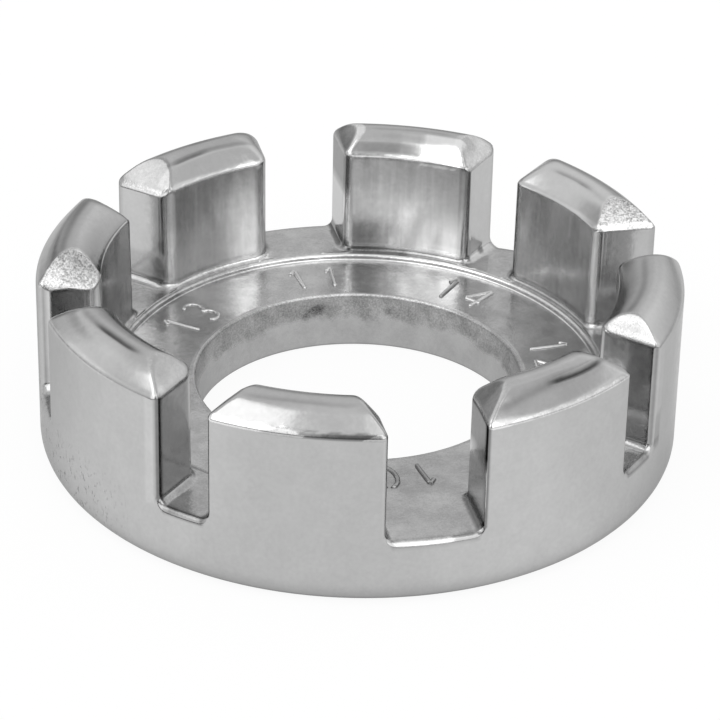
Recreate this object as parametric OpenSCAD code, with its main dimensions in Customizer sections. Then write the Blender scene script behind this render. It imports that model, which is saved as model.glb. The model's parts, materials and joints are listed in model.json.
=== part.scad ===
// Round spoke wrench: one cast ring with a flange inside it and a crown of
// jaws. A nipple is gripped in the parallel notch between two jaws.
// Origin: centre of the bore, on the base. +Z up, the widest notch faces -Y.

/* [Ring] */
// Outside diameter
ring_d = 38; // [34:0.1:46]
// Overall height, base to the crest of the jaws
ring_h = 12.1; // [10:0.1:15]
// Radius of the lower outside edge
foot_r = 1.1; // [0.4:0.1:1.8]

/* [Flange] */
// Diameter of the centre bore
bore_d = 19.4; // [12:0.1:23]
// Thickness of the flange
flange_t = 3.65; // [2.5:0.05:4.5]
// Rounding of both edges of the bore
bore_edge_r = 0.2; // [0.1:0.05:0.4]

/* [Jaws] */
// Thickness of a jaw, inner wall to outer wall
jaw_t = 4; // [3.2:0.05:4.8]
// Height of the jaw's roof, from the top of its walls to its crest
roof_h = 1.4; // [1.2:0.05:1.6]
// Radius along the crest of the roof
crest_r = 1.5; // [1:0.05:1.6]
// Rounding of the jaw corners that face the bore
inner_corner_r = 0.75; // [0.3:0.05:1]
// Rounding of the jaw corners on the outside
outer_corner_r = 0.35; // [0.1:0.05:0.6]

/* [Ledge under the jaws] */
// Height of the ledge above the flange
ledge_h = 0.35; // [0.2:0.05:0.8]
// Width of the ledge in front of the jaws
ledge_w = 0.5; // [0.3:0.05:1]
// Rounding of the ledge's edge
ledge_edge_r = 0.15; // [0.05:0.05:0.2]
// Fillet at the foot of the jaws
foot_fillet_r = 0.3; // [0.1:0.05:0.3]

/* [Notches] */
// Fillet in the corners of a notch's floor
notch_fillet_r = 0.55; // [0.2:0.05:0.9]
// Width of notch 1, at the front
notch_1_w = 5.4; // [3:0.05:5.8]
// Width of notch 2
notch_2_w = 3.1; // [3:0.05:5.8]
// Width of notch 3
notch_3_w = 4.4; // [3:0.05:5.8]
// Width of notch 4
notch_4_w = 3.25; // [3:0.05:5.8]
// Width of notch 5
notch_5_w = 5; // [3:0.05:5.8]
// Width of notch 6
notch_6_w = 3.6; // [3:0.05:5.8]
// Width of notch 7
notch_7_w = 3.5; // [3:0.05:5.8]
// Width of notch 8
notch_8_w = 3.15; // [3:0.05:5.8]

/* [Hidden] */
// Overrun of every cut
cut = 0.5;
// How far the round of a jaw's corner passes its two walls, as a share of its
// radius, so that it meets each of them in a clean line
corner_pass_share = 0.005;

ring_r = ring_d / 2;
bore_r = bore_d / 2;
jaw_in_r = ring_r - jaw_t;
jaw_mid_r = ring_r - jaw_t / 2;
ledge_in_r = jaw_in_r - ledge_w;
floor_z = flange_t + ledge_h;
wall_top_z = ring_h - roof_h;

// Slope of the roof that lets both flanks run into the crest's arc.
// (w, h) is half the roof's width and its height, r the radius of the crest.
function flank_angle(w, h, r) =
    let (rise = h - r, reach = sqrt(w * w + rise * rise))
    atan2(rise, w) + asin(r / reach);

flank_a = flank_angle(jaw_t / 2, roof_h, crest_r);
crest_z = ring_h - crest_r;

notch_widths = [
    notch_1_w, notch_2_w, notch_3_w, notch_4_w,
    notch_5_w, notch_6_w, notch_7_w, notch_8_w
];
notch_pitch = 360 / len(notch_widths);
// How far each notch is off its even place round the ring, in degrees
notch_skews = [0, -0.9, -1.3, -0.9, 0.4, 1.1, 2.4, 1.6];
// How far the hip on each side of a notch leans back, as a share of roof_h.
// The first is the side on the clockwise hand seen from above.
hip_shares = [
    [1.2, 1.2], [1.2, 0.8], [0.9, 1.2], [1.2, 1.2],
    [1.1, 1.1], [1.2, 1.2], [1.2, 1.1], [1.1, 1.15]
];

// Where notch i points, in degrees from +X: the first faces -Y
function notch_angle(i) = -90 + i * notch_pitch + notch_skews[i];

// The piece between a square corner at the origin and the arc of radius r
// inside it. It lies towards +X and +Y, or is flipped to -X or -Y. Taken away
// it rounds an edge, and added it fills an inside corner.
module corner_piece(r, flip_x, flip_y) {
    mirror([flip_x, 0, 0])
        mirror([0, flip_y, 0])
            difference() {
                translate([-cut, -cut])
                    square(cut + r);
                translate([r, r])
                    circle(r = r, $fn = 48);
            }
}

// Half section through a jaw, with the radius along X
module ring_section() {
    difference() {
        union() {
            // Flange and ledge
            translate([bore_r, 0])
                square([ring_r - bore_r, flange_t]);
            translate([ledge_in_r, 0])
                square([ring_r - ledge_in_r, floor_z]);
            // Jaw with its pitched roof
            polygon([
                [jaw_in_r, 0],
                [ring_r, 0],
                [ring_r, wall_top_z],
                [jaw_mid_r + crest_r * sin(flank_a), crest_z + crest_r * cos(flank_a)],
                [jaw_mid_r - crest_r * sin(flank_a), crest_z + crest_r * cos(flank_a)],
                [jaw_in_r, wall_top_z]
            ]);
            translate([jaw_mid_r, crest_z])
                circle(r = crest_r, $fn = 64);
            // Fillet between the ledge and the jaw
            translate([jaw_in_r, floor_z])
                corner_piece(foot_fillet_r, 1, 0);
        }
        translate([ring_r, 0])
            corner_piece(foot_r, 1, 0);
        translate([bore_r, 0])
            corner_piece(bore_edge_r, 0, 0);
        translate([bore_r, flange_t])
            corner_piece(bore_edge_r, 0, 1);
        translate([ledge_in_r, floor_z])
            corner_piece(ledge_edge_r, 0, 1);
    }
}

// Section of a notch: parallel walls, filleted floor and hips at the top.
// X runs across the notch and Y up.
module notch_section(w, hips) {
    hip_l = hips[0] * roof_h;
    hip_r = hips[1] * roof_h;
    over = cut / roof_h;
    translate([-w / 2, floor_z + notch_fillet_r])
        square([w, wall_top_z - floor_z]);
    translate([-w / 2 + notch_fillet_r, floor_z])
        square([w - 2 * notch_fillet_r, ring_h - floor_z]);
    for (side = [-1, 1])
        translate([side * (w / 2 - notch_fillet_r), floor_z + notch_fillet_r])
            circle(r = notch_fillet_r, $fn = 48);
    polygon([
        [-w / 2, wall_top_z],
        [w / 2, wall_top_z],
        [w / 2 + hip_r * (1 + over), ring_h + cut],
        [-w / 2 - hip_l * (1 + over), ring_h + cut]
    ]);
}

// Plan of the waste at one vertical corner of a jaw. The wall of radius
// wall_r meets the notch, and way is 1 at the outer wall and -1 at the inner.
module corner_plan(w, wall_r, r, way) {
    cy = w / 2 + r;
    centre_r = wall_r - way * r;
    cx = sqrt(centre_r * centre_r - cy * cy);
    past = (wall_r + way * cut) / centre_r;
    difference() {
        polygon([
            [cx, cy],
            [cx * past, cy * past],
            [cx * past, w / 2 - cut],
            [cx, w / 2 - cut]
        ]);
        translate([cx, cy])
            circle(r = r * (1 + corner_pass_share), $fn = 48);
    }
}

// Everything that one notch takes out of the ring, pointing along +X
module notch(w, hips) {
    translate([ledge_in_r - cut, 0, 0])
        rotate([90, 0, 90])
            linear_extrude(height = ring_r - ledge_in_r + 2 * cut)
                notch_section(w, hips);
    for (side = [0, 1])
        mirror([0, side, 0])
            translate([0, 0, floor_z + notch_fillet_r])
                linear_extrude(height = ring_h - floor_z) {
                    corner_plan(w, jaw_in_r, inner_corner_r, -1);
                    corner_plan(w, ring_r, outer_corner_r, 1);
                }
}

module wrench_ring() {
    color("#b9bbbd")
        difference() {
            rotate_extrude($fn = 180)
                ring_section();
            for (i = [0 : len(notch_widths) - 1])
                rotate([0, 0, notch_angle(i)])
                    notch(notch_widths[i], hip_shares[i]);
        }
}

wrench_ring();
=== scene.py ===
"""Round spoke wrench: the finished look of the plated casting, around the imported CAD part.

The casting is one closed surface, stitched from grids that are each worked out with numpy from the
same few sizes: a loop of columns round every jaw, the floors of the notches, the flange and the wall.
Lengths in this file are in millimetres until a mesh is written. Angles are in radians, but in degrees
where a table's comment says so.
"""
import json
import math
from functools import partial

import bmesh
import bpy
import numpy as np
from mathutils import Matrix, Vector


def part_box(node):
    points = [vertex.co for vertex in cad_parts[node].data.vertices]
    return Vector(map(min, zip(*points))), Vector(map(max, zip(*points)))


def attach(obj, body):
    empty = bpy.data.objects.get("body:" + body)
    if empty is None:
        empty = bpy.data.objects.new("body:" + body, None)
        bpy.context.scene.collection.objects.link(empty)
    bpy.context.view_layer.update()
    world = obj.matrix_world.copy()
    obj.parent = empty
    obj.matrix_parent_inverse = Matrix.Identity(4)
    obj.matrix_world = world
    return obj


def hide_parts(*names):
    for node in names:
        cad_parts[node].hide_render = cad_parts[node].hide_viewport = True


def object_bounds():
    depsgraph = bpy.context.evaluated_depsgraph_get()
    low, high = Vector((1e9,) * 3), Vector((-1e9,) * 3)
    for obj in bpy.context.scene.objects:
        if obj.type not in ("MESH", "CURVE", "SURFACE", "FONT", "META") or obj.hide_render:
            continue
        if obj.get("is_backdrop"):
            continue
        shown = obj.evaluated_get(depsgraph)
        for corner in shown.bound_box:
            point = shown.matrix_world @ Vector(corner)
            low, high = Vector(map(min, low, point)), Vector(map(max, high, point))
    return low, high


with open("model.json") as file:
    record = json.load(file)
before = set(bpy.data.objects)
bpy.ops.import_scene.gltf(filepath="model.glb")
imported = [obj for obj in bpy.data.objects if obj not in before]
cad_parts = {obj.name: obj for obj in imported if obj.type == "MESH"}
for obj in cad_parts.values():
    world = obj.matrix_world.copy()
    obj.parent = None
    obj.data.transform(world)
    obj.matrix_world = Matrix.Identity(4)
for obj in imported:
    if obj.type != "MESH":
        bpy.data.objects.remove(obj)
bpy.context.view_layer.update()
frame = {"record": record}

MM = 0.001
IMAGE_PX = 720
NODE = "wrench_ring"
CAMERA_TURN = math.radians(-13.4)

# Ring and flange. The outer size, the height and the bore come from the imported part.
low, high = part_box(NODE)
RING_R = min(high.x, high.y, -low.x, -low.y) / MM
RING_H = high.z / MM
BORE_R = next(m["dims"]["r_mm"] for m in frame["record"]["mounts"] if m["name"] == "centre_bore")
FLANGE_Z = 3.65
FLOOR_Z = 4.0
FOOT_R = 1.1
BORE_EDGE_R = 0.2
LEDGE_IN_R = 14.42
BEAD_R = 0.2
HOLLOW_R = 0.12
GROOVE_DEPTH = 0.08

# Ramp in front of notch 1: its radii, and half its width and the softness of its sides as angles
RAMP_IN_R = 10.2
RAMP_OUT_R = 14.7
RAMP_HALF = 0.3
RAMP_SOFT = 0.14

# Jaws. The walls lean a little, as a casting's do to leave its mould. The roof's inner slope starts a
# little above the walls' top and the outer one as far below it, and both are rounded at the eaves.
JAW_IN_R = 15.0
JAW_T = RING_R - JAW_IN_R
CREST_R = RING_R - JAW_T / 2
WALL_TOP_Z = 10.7
ROOF_H = RING_H - WALL_TOP_Z
SLOPE_SHIFT = 0.04
OUTER_LEAN = 0.11
INNER_LEAN = 0.08
EAVE_R = 0.26
EAVE_DROP = 0.6 * EAVE_R
SLOT_FILLET = 0.55
FOOT_FILLET = 0.2

# Notches: eight at an even pitch, each a little off it, named by their width
NOTCH_COUNT = 8
NOTCH_WIDTHS = (5.4, 3.1, 4.4, 3.25, 5.0, 3.6, 3.5, 3.15)
NOTCH_SKEWS_DEG = (0.0, -0.9, -1.3, -0.9, 0.4, 1.1, 2.4, 1.6)

# Each jaw, from the one after notch 1 and on counter-clockwise, with its clockwise side first:
# rounding of its inner and outer corners
INNER_CORNERS = ((0.75, 0.75), (0.75, 0.75), (0.66, 0.75), (0.53, 0.75),
                 (1.08, 0.92), (0.75, 1.2), (0.75, 1.15), (0.8, 0.6))
OUTER_CORNERS = ((0.28, 0.35), (0.39, 0.35), (0.35, 0.35), (1.0, 0.45),
                 (0.5, 0.35), (0.35, 0.8), (0.35, 0.4), (0.35, 0.3))

# Lean of each hip on the roof's inner and outer half, as a share of the roof's height
HIP_LEANS = ((1.05, 1.2), (0.8, 0.9), (1.2, 1.2), (1.15, 1.1),
             (0.9, 1.4), (1.2, 1.2), (1.1, 1.1), (1.0, 0.95))
HIP_OUTER_LEANS = ((1.05, 1.2), (0.7, 0.9), (0.95, 1.2), (0.95, 0.8),
                   (0.7, 1.15), (1.1, 1.1), (1.1, 1.25), (1.0, 0.9))

# How far each hip swells over its plane
HIP_SWELLS = ((0.1, 0.1), (0.4, 0.2), (0.3, 0.2), (0.4, 0.35),
              (0.3, 0.25), (0.3, 0.3), (0.1, 0.4), (0.0, 0.3))

# Of some hips, by jaw and side: how much lower the foot lies than the walls' top, and how much the
# hip falls per millimetre towards the bore
HIP_DROPS = {(2, 1): 0.1, (3, 0): 0.1, (4, 1): 0.35, (5, 0): 0.2, (5, 1): 0.12}
HIP_TWISTS = {(0, 0): 0.15, (3, 0): 0.12, (5, 0): 0.15, (5, 1): 0.25, (6, 1): 0.05, (7, 0): 0.3, (7, 1): 0.3}

# How much lower each crest lies than the highest one
CREST_DROPS = (0.0, 0.18, 0.0, 0.12, 0.05, 0.0, 0.08, 0.22)

# How softly each hip runs into the roof, and how much of its skin the plating left granular
HIP_BLENDS = ((0.3, 0.5), (0.12, 0.3), (0.12, 0.4), (0.15, 0.3),
              (0.9, 0.1), (0.4, 0.1), (0.4, 0.2), (0.3, 0.2))
HIP_GRAINS = ((0.12, 0.5), (0.17, 0.5), (1.0, 0.5), (0.15, 0.1),
              (0.4, 0.1), (0.5, 0.9), (0.4, 0.06), (0.2, 0.1))

# Of some hips: painted light and shade as tone, how bright the painted highlight strip along the foot is,
# and the painted highlight ridges
HIP_PAINTED_TONES = {(0, 0): 0.1, (1, 0): -0.02, (3, 0): 0.07, (3, 1): 0.08,
             (4, 1): -0.16, (5, 1): 0.03, (6, 1): -0.03}
HIP_RIM_HIGHLIGHTS = {(1, 0): 0.5, (2, 0): 1.0, (3, 0): 0.3, (4, 1): 0.5, (6, 1): 0.2}
HIP_RIDGE_HIGHLIGHTS = {(0, 0): 0.2, (2, 0): 0.4, (3, 0): 0.5, (3, 1): 0.9, (5, 1): 0.5, (6, 1): 0.3}

# Darkness of the narrow painted shade line along each jaw's outer corner
CORNER_SHADE_LINES = ((0.85, 0.2), (0.7, 0.2), (0.2, 0.2), (0.1, 0.3),
              (0.3, 0.3), (0.3, 0.8), (0.3, 0.9), (0.1, 0.25))

# Slope of each roof where it leaves the wall. A steeper one is rounder, since all crests are level.
ROOF_SLOPES = (1.0, 1.1, 1.1, 1.02, 1.1, 1.15, 1.1, 0.88)

# Shallow creases that the mould left along the roofs: jaw, distance out from the crest and how much
# it grows along the jaw, depth, half width, and the shares of the jaw's length between which it runs
CREASES = (
    (0, 0.79, 0.0, 0.14, 0.15, 0.42, 1.08), (0, 1.1, -0.62, 0.05, 0.2, -0.15, 0.5),
    (1, -0.5, 0.0, 0.05, 0.22, 0.0, 1.0),
    (2, -0.65, 0.0, 0.09, 0.12, 0.35, 0.85), (2, -0.65, 0.0, 0.03, 0.15, 0.0, 0.5),
    (3, -0.3, 0.0, 0.03, 0.12, 0.1, 0.9), (3, -0.9, 0.0, 0.02, 0.15, 0.2, 0.8),
    (4, -0.8, 0.0, 0.1, 0.12, 0.55, 1.0), (4, -0.75, 0.0, 0.05, 0.14, 0.0, 0.6),
    (4, 0.35, 0.0, 0.03, 0.2, 0.1, 0.6),
    (5, 0.35, 0.0, 0.05, 0.3, 0.0, 1.0),
    (6, 0.3, 0.0, 0.09, 0.13, 0.3, 0.85), (6, 0.3, 0.0, 0.05, 0.22, 0.0, 0.9),
    (7, 0.45, 0.0, 0.035, 0.14, 0.0, 1.0),
)

# Painted highlight and shade lines along the eaves: jaw, 1 for the outer eave and 0 for the inner one,
# shares of the jaw's length between which it runs, width, and how bright the painted highlight is, or dark
# painted shade below zero
EAVE_HIGHLIGHTS_AND_SHADES = (
    (7, 1, -0.1, 0.56, 0.38, 0.9), (7, 1, 0.3, 1.08, 0.26, -1.0), (7, 1, 0.87, 1.03, 0.3, 1.0),
    (0, 1, -0.08, 0.13, 0.22, 1.0), (0, 1, 0.1, 1.08, 0.22, 0.5),
    (6, 1, -0.1, 0.72, 0.3, 0.35), (6, 1, 0.62, 1.05, 0.26, 0.2),
    (3, 0, 0.06, 0.48, 0.45, 1.0), (3, 0, 0.4, 1.0, 0.2, 0.75),
    (4, 0, -0.1, 0.35, 0.24, 0.8), (4, 0, 0.25, 0.95, 0.16, 0.5),
)

# Painted highlights and shade of the inner walls: jaw, share of its length, half width and softness of
# that, height, half height and softness of that, shift of the share per millimetre up, and tone
WALL_PAINTED_LIGHT = (
    (4, 0.12, 0.12, 0.3, 6.0, 1.6, 3.0, 0.0, 0.3), (4, 0.8, 0.3, 0.3, 9.5, 1.0, 2.5, 0.0, -0.12),
    (3, 0.53, 0.03, 0.06, 5.9, 0.8, 1.4, -0.044, 0.24), (3, 0.33, 0.035, 0.06, 5.4, 0.5, 1.2, -0.044, 0.2),
    (3, 0.13, 0.05, 0.07, 5.2, 0.6, 2.0, 0.0, 0.28), (3, 0.35, 0.3, 0.2, 5.4, 1.2, 3.0, 0.0, 0.08),
    (3, 0.8, 0.1, 0.15, 5.2, 0.6, 1.5, 0.0, -0.05), (3, 0.5, 0.5, 0.2, 9.8, 0.8, 1.5, 0.0, -0.05),
    (2, 0.2, 0.25, 0.3, 7.5, 2.5, 2.0, 0.0, -0.06),
)

# The same painted highlights and shade for the roofs: jaw, share, half, softness, distance out from the
# crest, half, softness, tone
ROOF_PAINTED_LIGHT = (
    (5, 0.5, 0.5, 0.2, 1.3, 0.5, 0.5, 0.13), (4, 0.5, 0.5, 0.2, -1.4, 0.45, 0.2, 0.09),
    (4, 0.3, 0.3, 0.2, -0.4, 0.2, 0.2, -0.04), (2, 0.5, 0.5, 0.2, -1.1, 0.9, 0.3, 0.16),
    (3, 0.26, 0.13, 0.04, -1.25, 0.65, 0.12, 0.38), (3, 0.5, 0.04, 0.06, -1.3, 0.6, 0.2, 0.08),
    (3, 0.7, 0.2, 0.1, -1.5, 0.15, 0.15, -0.2), (7, 0.5, 0.05, 0.05, 1.3, 0.6, 0.3, 0.03),
    (7, 0.7, 0.1, 0.1, 1.2, 0.6, 0.3, 0.05), (0, 0.2, 0.2, 0.15, 1.2, 0.6, 0.3, 0.04),
    (6, 0.25, 0.3, 0.2, 1.2, 0.6, 0.4, 0.1),
    (6, 0.5, 0.5, 0.2, 1.5, 0.4, 0.4, 0.08), (1, 0.5, 0.5, 0.2, 1.2, 0.5, 0.4, 0.1),
)

# The same painted highlights and shade for the slot walls and their feet: jaw, its side, height, half
# height, softness and tone
SLOT_PAINTED_LIGHT = (
    (0, 0, 9.6, 1.2, 0.6, -0.26), (0, 0, 6.4, 1.2, 0.7, 0.45), (0, 0, 4.1, 0.4, 0.2, -0.3),
    (6, 1, 7.4, 4.0, 1.0, -0.14), (4, 1, 7.8, 2.0, 1.0, 0.03), (4, 1, 5.2, 0.7, 0.6, -0.12),
    (4, 1, 4.2, 0.3, 0.2, -0.12), (3, 1, 7.4, 4.0, 1.0, 0.16), (3, 0, 7.4, 4.0, 1.0, 0.06),
    (1, 0, 7.4, 4.0, 1.0, 0.07), (5, 1, 7.4, 4.0, 1.0, 0.1),
)

# The same painted highlights and shade for the flange and the notches' floors: direction in degrees, half
# width, softness and tone
FLANGE_PAINTED_LIGHT = (
    (110, 40, 25, 0.035), (5, 20, 20, -0.04), (-90, 14, 6, -0.02), (226.6, 8, 6, -0.05),
    (136.1, 7, 4, -0.09),
)

# Painted highlight arcs of the ledge's bead: direction in degrees, half width and softness as angles, and
# gain
BEAD_HIGHLIGHTS = ((50, 0.6, 0.5, 1.0), (110, 0.4, 0.5, 0.4))

# Dark blotches of the bore: direction in degrees, height, radius and darkness
BORE_BLOTCHES = ((92.8, 2.7, 0.3, 0.75), (97, 2.3, 0.12, 0.5), (66, 2.6, 0.12, 0.4))

# Notches whose outer floor edge gets painted shade, counted from 0, and how dark each is
SHADED_MOUTHS = ((0, 0.4), (1, 0.6), (7, 0.8))

# Pitted stretch of the outer wall: direction, half width and softness as angles, and the heights
# between which it fades out
PITTED = (math.radians(186), 0.25, 0.35)
PITTED_FADE = (2.5, 5.5)

# One deep pit at the foot of jaw 3, drawn only as painted shade: radius, angle from notch 3, and height
PIT_R = 16.8
PIT_TURN = 0.0969
PIT_Z = 4.25

# Steps of the grids
CORNER_STEPS = 8
SLOT_STEPS = 14
WALL_STEPS = 34
RISE_STEPS = 16
FILLET_STEPS = 6
EAVE_STEPS = 5
ROOF_STEPS = 18
NOTCH_STEPS = 12
SKIRT_STEPS = 14
ROUND_STEPS = 8
GROOVE_STEPS = 6
FLANGE_STEPS = 26
BORE_STEPS = 13
BEND_STEPS = 12

# Columns on each side of a jaw: two corners and the slot wall between them
SIDE_COLUMNS = 2 * CORNER_STEPS + SLOT_STEPS + 1

# Least fall of a notch mouth's radius from one row to the next
ROW_FALL = 0.0015


def even_shares(steps):
    """Even shares from 0 to 1 in that many steps."""
    return np.linspace(0, 1, steps + 1)


def notch_angle(i):
    """Direction of notch i: the front, plus i even pitches, plus its own skew."""
    i = i % NOTCH_COUNT
    return math.radians(-90 + 360 / NOTCH_COUNT * i + NOTCH_SKEWS_DEG[i])


def half_width(i):
    """Half the width of notch i."""
    return NOTCH_WIDTHS[i % NOTCH_COUNT] / 2


def turn_from(centre, angle):
    """The way from the centre angle to an angle, between minus and plus half a turn."""
    return (angle - centre + math.pi) % (2 * math.pi) - math.pi


def from_slot(k, hand, r, angle):
    """Distance of points from the slot wall on one side of jaw k, positive inside the jaw, and their
    angle from the middle of that notch towards the jaw."""
    i = k + hand
    off = (1 - 2 * hand) * turn_from(notch_angle(i), angle)
    return r * np.sin(off) - half_width(i), off


def lean(r, z):
    """Radial shift of a jaw's surface at height z: the outer wall leans in and the inner wall leans
    out with height, and what lies between them is moved by the share of the way across."""
    up = np.clip((z - FOOT_R) / (WALL_TOP_Z - FOOT_R), 0, 1.2)
    share = np.clip((r - JAW_IN_R) / JAW_T, 0, 1)
    return up * (INNER_LEAN * (1 - share) - OUTER_LEAN * share)


def corner_centre(half, centre_r, corner_r):
    """Centre of a corner's arc, along and across its notch, and its direction from the middle."""
    across = half + corner_r
    along = math.sqrt(centre_r ** 2 - across ** 2)
    return along, across, math.atan2(across, along)


def side_columns(i, side, inner_r, outer_r):
    """Plan of one side of a jaw, from its outer wall round the outer corner, along the slot wall and
    round the inner corner to its inner wall. side is 1 for the jaw counter-clockwise of notch i.
    Each corner is a circle's arc that touches the round wall and the flat slot wall."""
    half = half_width(i)
    steps = even_shares(CORNER_STEPS)

    along, across, turn = corner_centre(half, RING_R - outer_r, outer_r)
    beta = turn + steps * (-math.pi / 2 - turn)
    outer_rho = along + outer_r * np.cos(beta)
    outer_t = across + outer_r * np.sin(beta)

    along, across, turn = corner_centre(half, JAW_IN_R + inner_r, inner_r)
    gamma = -math.pi / 2 + steps * (turn - math.pi / 2)
    inner_rho = along + inner_r * np.cos(gamma)
    inner_t = across + inner_r * np.sin(gamma)

    slot_rho = np.linspace(outer_rho[-1], inner_rho[0], SLOT_STEPS + 1)[1:-1]
    rho = np.concatenate([outer_rho, slot_rho, inner_rho])
    t = np.concatenate([outer_t, np.full(len(slot_rho), half), inner_t])
    straight = len(outer_rho) + len(slot_rho)
    share = np.concatenate([np.zeros(straight), steps])
    normal = np.concatenate([np.full(straight, -math.pi / 2), gamma])
    a = notch_angle(i)
    return {
        "r": np.hypot(rho, t),
        "a": a + side * np.arctan2(t, rho),
        "depth": np.concatenate([outer_t - half, np.zeros(len(rho) - len(outer_t))]),
        "sweep": np.concatenate([np.ones(straight + 1), np.zeros(CORNER_STEPS)]),
        "fillet": SLOT_FILLET + (FOOT_FILLET - SLOT_FILLET) * share,
        "normal": a + side * normal,
        "notch_a": np.full(len(rho), a),
        "side": np.full(len(rho), float(side)),
    }


def jaw_columns(k):
    """Columns of jaw k round the open side of its loop: outer corner, slot wall and inner corner of
    its clockwise side, the inner wall, and the same three back on its counter-clockwise side."""
    cw = side_columns(k, 1, INNER_CORNERS[k][0], OUTER_CORNERS[k][0])
    ccw = side_columns(k + 1, -1, INNER_CORNERS[k][1], OUTER_CORNERS[k][1])
    ccw = {key: value[::-1].copy() for key, value in ccw.items()}
    if ccw["a"][0] < cw["a"][-1]:
        for key in ("a", "normal", "notch_a"):
            ccw[key] = ccw[key] + 2 * math.pi
    steps = wall_spacing()[1:-1]
    angle = cw["a"][-1] + steps * (ccw["a"][0] - cw["a"][-1])
    none = np.zeros(len(steps))
    wall = {
        "r": none + JAW_IN_R, "a": angle, "depth": none, "sweep": none, "fillet": none + FOOT_FILLET,
        "normal": angle + math.pi, "notch_a": none, "side": none + 1,
    }
    loop = {key: np.concatenate([cw[key], wall[key], ccw[key]]) for key in cw}
    return loop, cw, ccw


def wall_spacing():
    """Shares along a jaw's long walls: a smooth step blended with even steps, so that the columns
    stand closer near the corners."""
    s = even_shares(WALL_STEPS)
    return 0.45 * s + 0.55 * s * s * (3 - 2 * s)


def smooth_min(a, b, blend):
    """The lower of two heights, with the fold between them rounded over the width of blend."""
    h = np.clip(blend - np.abs(a - b), 0, None) / blend
    return np.minimum(a, b) - h * h * blend / 4


def roof_height(k, r, angle):
    """Height of jaw k's roof over a point of its plan: the lower of an inner and an outer slope,
    folded softly along the crest, and of two hips that rise from the slot walls."""
    slope = ROOF_SLOPES[k]
    half = (JAW_T - OUTER_LEAN - INNER_LEAN) / 2
    crest_blend = 4 * (slope * half - (ROOF_H - CREST_DROPS[k]))
    inner = (r - JAW_IN_R - INNER_LEAN) * slope + WALL_TOP_Z + SLOPE_SHIFT
    outer = (RING_R - OUTER_LEAN - r) * slope + WALL_TOP_Z - SLOPE_SHIFT
    top = smooth_min(inner, outer, crest_blend) - crease_depth(k, r, angle)
    top = smooth_min(top, hip_height(k, r, angle, 0), HIP_BLENDS[k][0])
    return smooth_min(top, hip_height(k, r, angle, 1), HIP_BLENDS[k][1])


def smooth_step(x, low, high):
    """0 below low and 1 above high, with a smooth ramp between."""
    s = np.clip((x - low) / (high - low), 0, 1)
    return s * s * (3 - 2 * s)


def fade(x, low, high):
    """1 below low and 0 above high, with a smooth ramp between."""
    return 1 - smooth_step(x, low, high)


def window(angle, centre, half, soft):
    """1 within half of the centre angle, and 0 beyond that plus soft, with smooth ramps."""
    return bump_share(turn_from(centre, angle), 0, half, soft)


def bump_share(x, centre, half, soft):
    """1 within half of the centre and 0 beyond that plus soft, with smooth ramps."""
    return fade(np.abs(x - centre), half, half + soft)


def crease_depth(k, r, angle):
    """Depth of jaw k's creases: each is a bell across the roof, and fades in and out along it."""
    start, end = ridge_end(k, 0), ridge_end(k, 1)
    span_a = (end - start) % (2 * math.pi)
    share = turn_from(start, angle) / span_a
    depth = 0 * share
    for jaw, out, drift, deep, half, first, last in CREASES:
        if jaw == k:
            across = r - CREST_R - out - drift * share - 0.04 * np.sin(7 * share + 3 * out)
            run = smooth_step(share, first - 0.1, first + 0.12)
            run = run * fade(share, last - 0.12, last + 0.1)
            depth = depth + deep * run * np.exp(-(across / half) ** 2)
    return depth


def crease_share(r, angle, z):
    """How deep in a crease each point lies, from 0 to 1 where it is 0.1 mm deep. It darkens the creases as
    painted shade.
    """
    share = 0 * r
    for k in range(NOTCH_COUNT):
        start = notch_angle(k)
        off = (angle - start) % (2 * math.pi)
        width = (notch_angle(k + 1) - start) % (2 * math.pi)
        here = (off < width) & (z > WALL_TOP_Z + 0.1)
        share = np.where(here, crease_depth(k, r, angle) / 0.1, share)
    return np.clip(share, 0, 1.4)


def hip_lean(k, hand, r):
    """Lean of one hip of jaw k at radius r: it passes smoothly from the inner half's to the outer's."""
    outward = smooth_step(r, CREST_R - 1.4, CREST_R + 1.4)
    return HIP_LEANS[k][hand] + (HIP_OUTER_LEANS[k][hand] - HIP_LEANS[k][hand]) * outward


def hip_height(k, r, angle, hand):
    """Height of the hip on one side of jaw k: it rises with the distance from that side's slot wall,
    faster at first and then slower, by a parabola, as a cast corner does."""
    t, _ = from_slot(k, hand, r, angle)
    share = t / (hip_lean(k, hand, r) * ROOF_H)
    swell = HIP_SWELLS[k][hand] * np.where(share < 1, share * (1 - share), 1 - share)
    drop = HIP_DROPS.get((k, hand), 0)
    fall = HIP_TWISTS.get((k, hand), 0) * np.minimum(r - CREST_R, 0)
    return WALL_TOP_Z - drop + (ROOF_H + drop) * (share + swell) + fall


def ridge_end(k, hand):
    """Angle on the crest's circle where the hip meets both slopes."""
    i = k + hand
    side = 1 - 2 * hand
    reach = half_width(i) + ROOF_H * hip_lean(k, hand, CREST_R)
    return notch_angle(i) + side * math.asin(reach / CREST_R)


def along_jaw(k, r, angle):
    """Share of the way along jaw k at radius r, from its clockwise slot wall to its other one. It is
    below 0 and above 1 beyond them."""
    start = notch_angle(k) + np.arcsin(half_width(k) / r)
    end = notch_angle(k + 1) - np.arcsin(half_width(k + 1) / r)
    length = (end - start) % (2 * math.pi)
    return turn_from(start + length / 2, angle) / length + 0.5


def place(r, angle, z):
    """Points from radius, angle and height, as one array."""
    return np.stack(np.broadcast_arrays(r * np.cos(angle), r * np.sin(angle), z), -1)


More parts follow.
